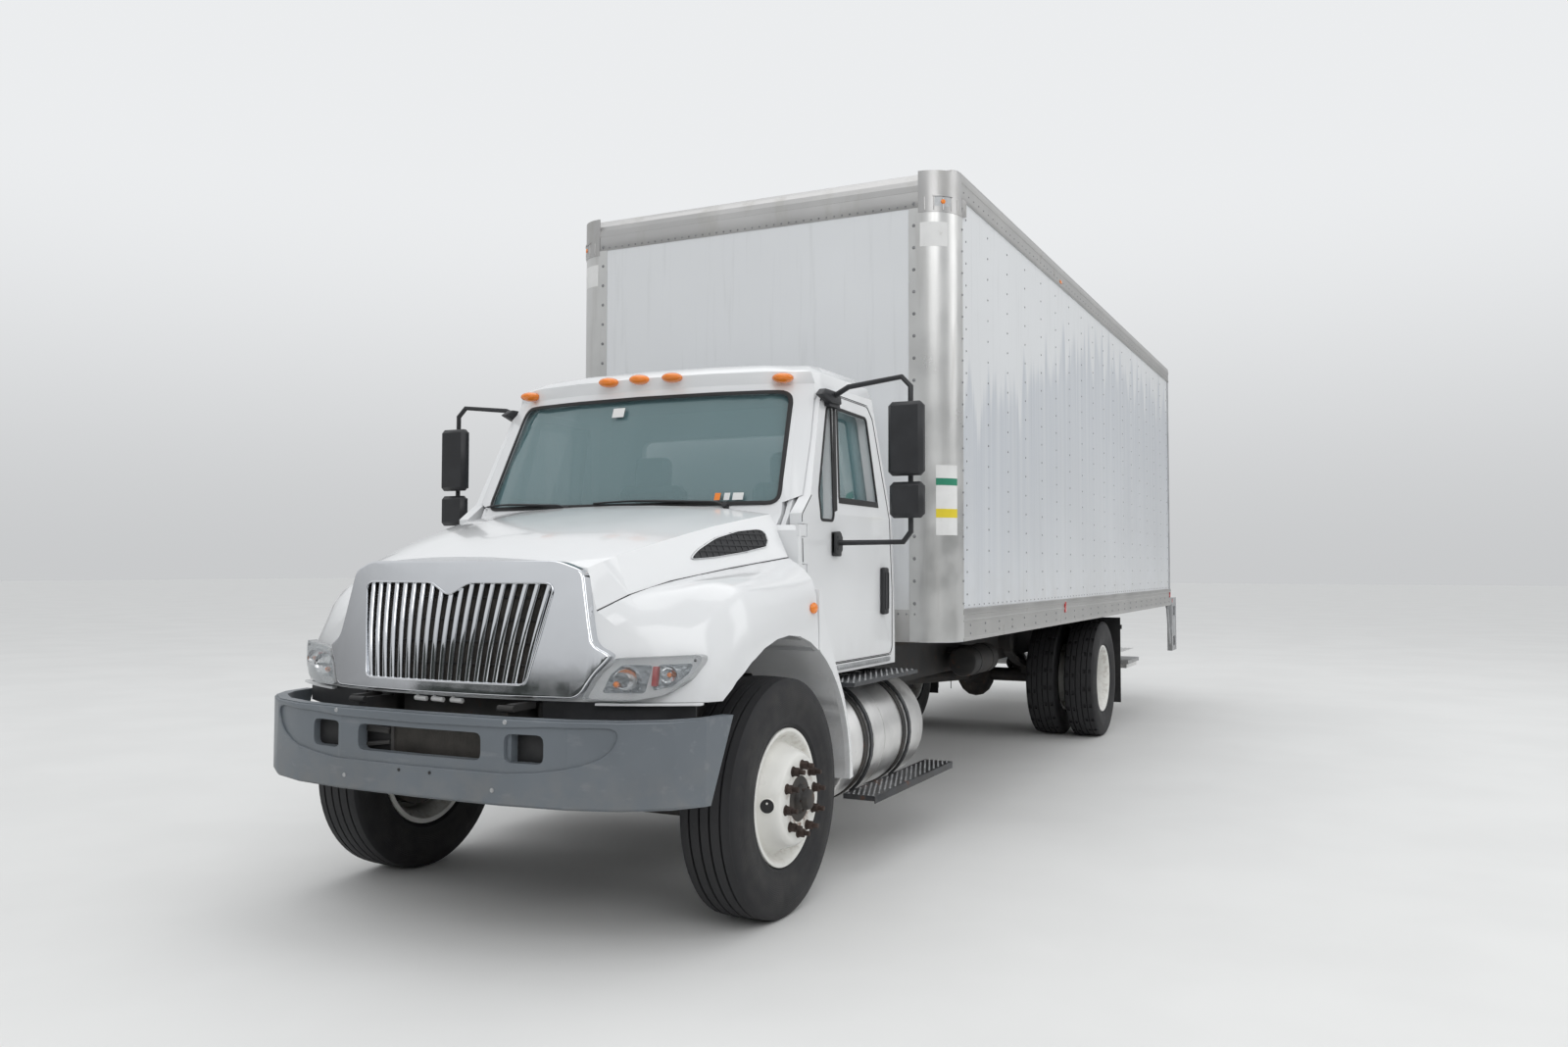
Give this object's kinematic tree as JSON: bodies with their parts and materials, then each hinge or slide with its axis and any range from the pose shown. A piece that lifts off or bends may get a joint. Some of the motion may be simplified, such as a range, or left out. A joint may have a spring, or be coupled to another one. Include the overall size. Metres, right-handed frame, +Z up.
{
  "type": "box truck",
  "caption": "Conventional-cab box truck: tilting hood, steered front wheels, twin rear wheels, long van body and a tuck-under lift gate.",
  "frame": {"origin": "centre of the whole truck's footprint, on the ground", "axes": "+Y towards the rear along the truck, +X towards the truck's left (driver's) side, +Z up"},
  "size_m": [3, 11.26, 3.82],
  "materials": {
    "white_paint": "gloss",
    "panel_white": "satin",
    "bumper_grey": "satin",
    "chrome": "polished",
    "glass": "clear",
    "black_trim": "matte",
    "chassis_black": "matte",
    "tyre": "matte",
    "wheel_paint": "satin",
    "aluminium": "dull",
    "galvanised": "dull",
    "cast_iron": "rough",
    "trim_grey": "matte",
    "lamp_clear": "gloss",
    "wood_floor": "worn"
  },
  "bodies": {
    "chassis": {"chassis_frame": "chassis_black", "front_bumper": "bumper_grey", "front_axle": "chassis_black", "rear_axle": "chassis_black", "drive_shaft": "chassis_black", "engine_and_gearbox": "cast_iron", "radiator": "cast_iron", "cab": "white_paint", "windshield": "glass", "dashboard": "trim_grey", "seat_left": "trim_grey", "seat_right": "trim_grey", "splash_panel_left": "white_paint", "splash_panel_right": "white_paint", "fuel_tank": "aluminium", "side_step": "chassis_black", "battery_box": "chassis_black", "exhaust_muffler": "chassis_black", "mudflap_left": "black_trim", "mudflap_right": "black_trim", "body_floor": "wood_floor", "body_front_wall": "panel_white", "body_side_left": "panel_white", "body_side_right": "panel_white", "body_roof": "panel_white", "body_rear_frame": "galvanised", "rear_door": "panel_white", "gate_frame": "galvanised", "gate_mount": "chassis_black"},
    "hood_and_grille": {"hood": "white_paint", "grille": "chrome", "headlamp_left": "lamp_clear", "headlamp_right": "lamp_clear"},
    "left_door": {"door_left": "white_paint", "door_glass_left": "glass", "mirror_left": "black_trim"},
    "right_door": {"door_right": "white_paint", "door_glass_right": "glass", "mirror_right": "black_trim"},
    "left_knuckle": {"steering_knuckle_left": "chassis_black"},
    "right_knuckle": {"steering_knuckle_right": "chassis_black"},
    "left_front_wheel": {"front_tyre_left": "tyre", "front_wheel_left": "wheel_paint"},
    "right_front_wheel": {"front_tyre_right": "tyre", "front_wheel_right": "wheel_paint"},
    "left_rear_wheels": {"rear_tyre_outer_left": "tyre", "rear_tyre_inner_left": "tyre", "rear_wheel_left": "wheel_paint"},
    "right_rear_wheels": {"rear_tyre_outer_right": "tyre", "rear_tyre_inner_right": "tyre", "rear_wheel_right": "wheel_paint"},
    "track_rod": {"tie_rod": "chassis_black"},
    "driver_steering_wheel": {"steering_wheel": "trim_grey"},
    "lift_arm_pair": {"lift_arms": "chassis_black"},
    "platform": {"lift_platform": "galvanised", "lift_flip_over": "aluminium"}
  },
  "joints": [
    {"name": "hood_tilt", "type": "hinge", "parent": "chassis", "child": "hood_and_grille", "pos_m": [0, -5.555, 0.962], "axis": [1, 0, 0], "range_deg": [0, 60]},
    {"name": "left_door_swing", "type": "hinge", "parent": "chassis", "child": "left_door", "pos_m": [1.022, -4.17, 1.6], "axis": [0, 0, 1], "range_deg": [-70, 0]},
    {"name": "right_door_swing", "type": "hinge", "parent": "chassis", "child": "right_door", "pos_m": [-1.022, -4.17, 1.6], "axis": [0, 0, 1], "range_deg": [0, 70]},
    {"name": "left_steer", "type": "hinge", "parent": "chassis", "child": "left_knuckle", "pos_m": [0.862, -4.57, 0.5167], "axis": [0, 0, 1], "range_deg": [-35, 35]},
    {"name": "right_steer", "type": "hinge", "parent": "chassis", "child": "right_knuckle", "pos_m": [-0.862, -4.57, 0.5167], "axis": [0, 0, 1], "range_deg": [-35, 35]},
    {"name": "left_front_roll", "type": "hinge", "parent": "left_knuckle", "child": "left_front_wheel", "pos_m": [1.01, -4.57, 0.5167], "axis": [1, 0, 0], "continuous": true},
    {"name": "right_front_roll", "type": "hinge", "parent": "right_knuckle", "child": "right_front_wheel", "pos_m": [-1.01, -4.57, 0.5167], "axis": [1, 0, 0], "continuous": true},
    {"name": "left_rear_roll", "type": "hinge", "parent": "chassis", "child": "left_rear_wheels", "pos_m": [0.91, 1.825, 0.5167], "axis": [1, 0, 0], "continuous": true},
    {"name": "right_rear_roll", "type": "hinge", "parent": "chassis", "child": "right_rear_wheels", "pos_m": [-0.91, 1.825, 0.5167], "axis": [1, 0, 0], "continuous": true},
    {"name": "track_rod_end", "type": "hinge", "parent": "left_knuckle", "child": "track_rod", "pos_m": [0.8, -4.37, 0.369], "axis": [0, 0, 1], "range_deg": [-35, 35]},
    {"name": "steering_wheel_turn", "type": "hinge", "parent": "chassis", "child": "driver_steering_wheel", "pos_m": [0.47, -3.77, 1.69], "axis": [0, 0.6691, 0.7431], "range_deg": [-560, 560]},
    {"name": "lift_arms_lower", "type": "hinge", "parent": "chassis", "child": "lift_arm_pair", "pos_m": [0, 4.05, 0.66], "axis": [1, 0, 0], "range_deg": [-31, 0]},
    {"name": "platform_level", "type": "hinge", "parent": "lift_arm_pair", "child": "platform", "pos_m": [0, 4.85, 0.56], "axis": [1, 0, 0], "range_deg": [0, 31]}
  ],
  "couplings": [
    {"joint": "right_steer", "follows": "left_steer", "ratio": 1},
    {"joint": "track_rod_end", "follows": "left_steer", "ratio": -1},
    {"joint": "steering_wheel_turn", "follows": "left_steer", "ratio": 16},
    {"joint": "platform_level", "follows": "lift_arms_lower", "ratio": -1}
  ]
}
